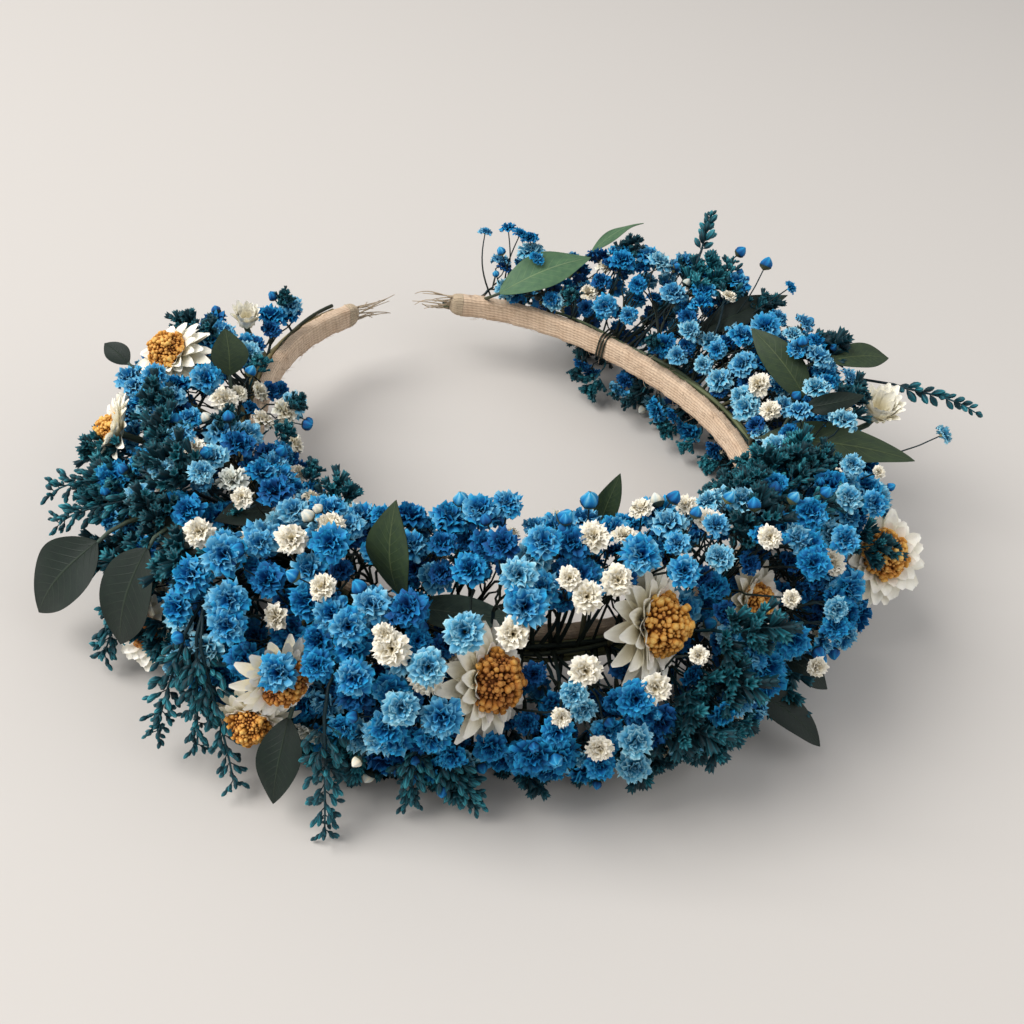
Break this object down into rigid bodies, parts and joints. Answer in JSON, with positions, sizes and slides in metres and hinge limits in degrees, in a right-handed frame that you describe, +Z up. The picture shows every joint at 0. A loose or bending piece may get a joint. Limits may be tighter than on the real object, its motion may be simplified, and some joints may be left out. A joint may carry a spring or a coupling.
{
  "type": "flower crown",
  "caption": "Open-ended wrapped headband with dried flowers, papery daisies, teal sprays and dark leaves bound along its outer side.",
  "frame": {"origin": "middle of the crown's base, where it lies flat on a table", "axes": "+Z up from the table, -Y towards the front middle of the headband, +Y towards the gap between its tips, X from ear to ear"},
  "size_m": [0.249, 0.1852, 0.0655],
  "materials": {
    "band_core": "plain",
    "band_wrap": "woven jute",
    "binding_wire": "dull green wire",
    "blue_bunch": "dyed dry petals",
    "daisy": "papery dry bracts",
    "ivory_bunch": "bleached dry petals",
    "leaf": "preserved leaf",
    "left_tip_cap": "raffia",
    "pale_leaf": "preserved leaf",
    "right_tip_cap": "raffia",
    "stem_bundle": "dry stems",
    "teal_bunch": "dyed dry sprays",
    "teal_sprig": "dyed dry spray"
  },
  "bodies": {
    "root": {"band_core": "band_core", "band_wrap": "band_wrap", "binding_wire_01": "binding_wire", "binding_wire_02": "binding_wire", "binding_wire_03": "binding_wire", "blue_bunch_01": "blue_bunch", "blue_bunch_02": "blue_bunch", "blue_bunch_03": "blue_bunch", "blue_bunch_04": "blue_bunch", "blue_bunch_05": "blue_bunch", "blue_bunch_06": "blue_bunch", "blue_bunch_07": "blue_bunch", "blue_bunch_08": "blue_bunch", "blue_bunch_09": "blue_bunch", "blue_bunch_10": "blue_bunch", "blue_bunch_11": "blue_bunch", "blue_bunch_12": "blue_bunch", "blue_bunch_13": "blue_bunch", "daisy_01": "daisy", "daisy_02": "daisy", "daisy_03": "daisy", "daisy_04": "daisy", "daisy_05": "daisy", "daisy_06": "daisy", "daisy_07": "daisy", "daisy_08": "daisy", "daisy_09": "daisy", "daisy_10": "daisy", "daisy_11": "daisy", "ivory_bunch_01": "ivory_bunch", "ivory_bunch_02": "ivory_bunch", "ivory_bunch_03": "ivory_bunch", "leaf_01": "leaf", "leaf_02": "leaf", "leaf_03": "leaf", "leaf_04": "leaf", "leaf_05": "pale_leaf", "leaf_06": "pale_leaf", "leaf_07": "leaf", "leaf_08": "leaf", "leaf_09": "leaf", "leaf_10": "leaf", "leaf_11": "leaf", "leaf_12": "leaf", "leaf_13": "leaf", "leaf_14": "leaf", "left_tip_cap": "left_tip_cap", "right_tip_cap": "right_tip_cap", "stem_bundle": "stem_bundle", "teal_bunch_01": "teal_bunch", "teal_bunch_02": "teal_bunch", "teal_bunch_03": "teal_bunch", "teal_bunch_04": "teal_bunch", "teal_bunch_05": "teal_bunch", "teal_bunch_06": "teal_bunch", "teal_bunch_07": "teal_bunch", "teal_bunch_08": "teal_bunch", "teal_bunch_09": "teal_bunch", "teal_sprig_01": "teal_sprig", "teal_sprig_02": "teal_sprig"}
  },
  "joints": []
}
